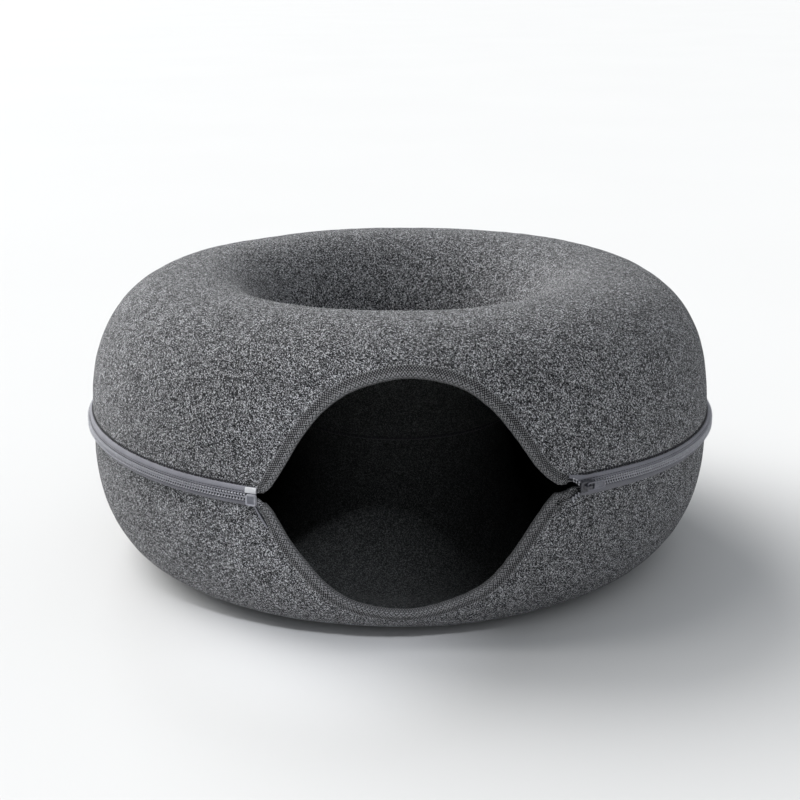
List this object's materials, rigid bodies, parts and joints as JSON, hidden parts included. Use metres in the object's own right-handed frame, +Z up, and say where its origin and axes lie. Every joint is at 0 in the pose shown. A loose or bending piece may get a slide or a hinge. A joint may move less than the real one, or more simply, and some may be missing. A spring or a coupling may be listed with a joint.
{
  "type": "felt cat cave donut tunnel",
  "caption": "Ring-shaped felt pet tunnel: two moulded halves zipped round the outside, a bound eye-shaped entrance in front and a hole through the middle.",
  "frame": {"origin": "on the floor, under the middle of the part's bounding box", "axes": "+Z up; the entrance faces -Y; +X is to the right when looking into the entrance"},
  "size_m": [0.6124, 0.5941, 0.2713],
  "materials": {
    "felt": "heather grey needle-punched felt, matt, with fine dark and light fibres",
    "binding": "dark grey woven edging tape",
    "tape": "blue-grey woven zip tape",
    "teeth": "moulded plastic, satin",
    "slider": "grey enamel, satin",
    "film": "glossy pressed-on film"
  },
  "bodies": {
    "root": {"upper_felt": "felt", "lower_felt": "felt", "upper_binding": "binding", "lower_binding": "binding", "zip_tape_upper": "tape", "zip_tape_lower": "tape", "zip_chain": "teeth", "zip_slider": "slider", "zip_pull": "slider", "zip_box": "teeth", "tape_end_film": "film"}
  },
  "joints": []
}
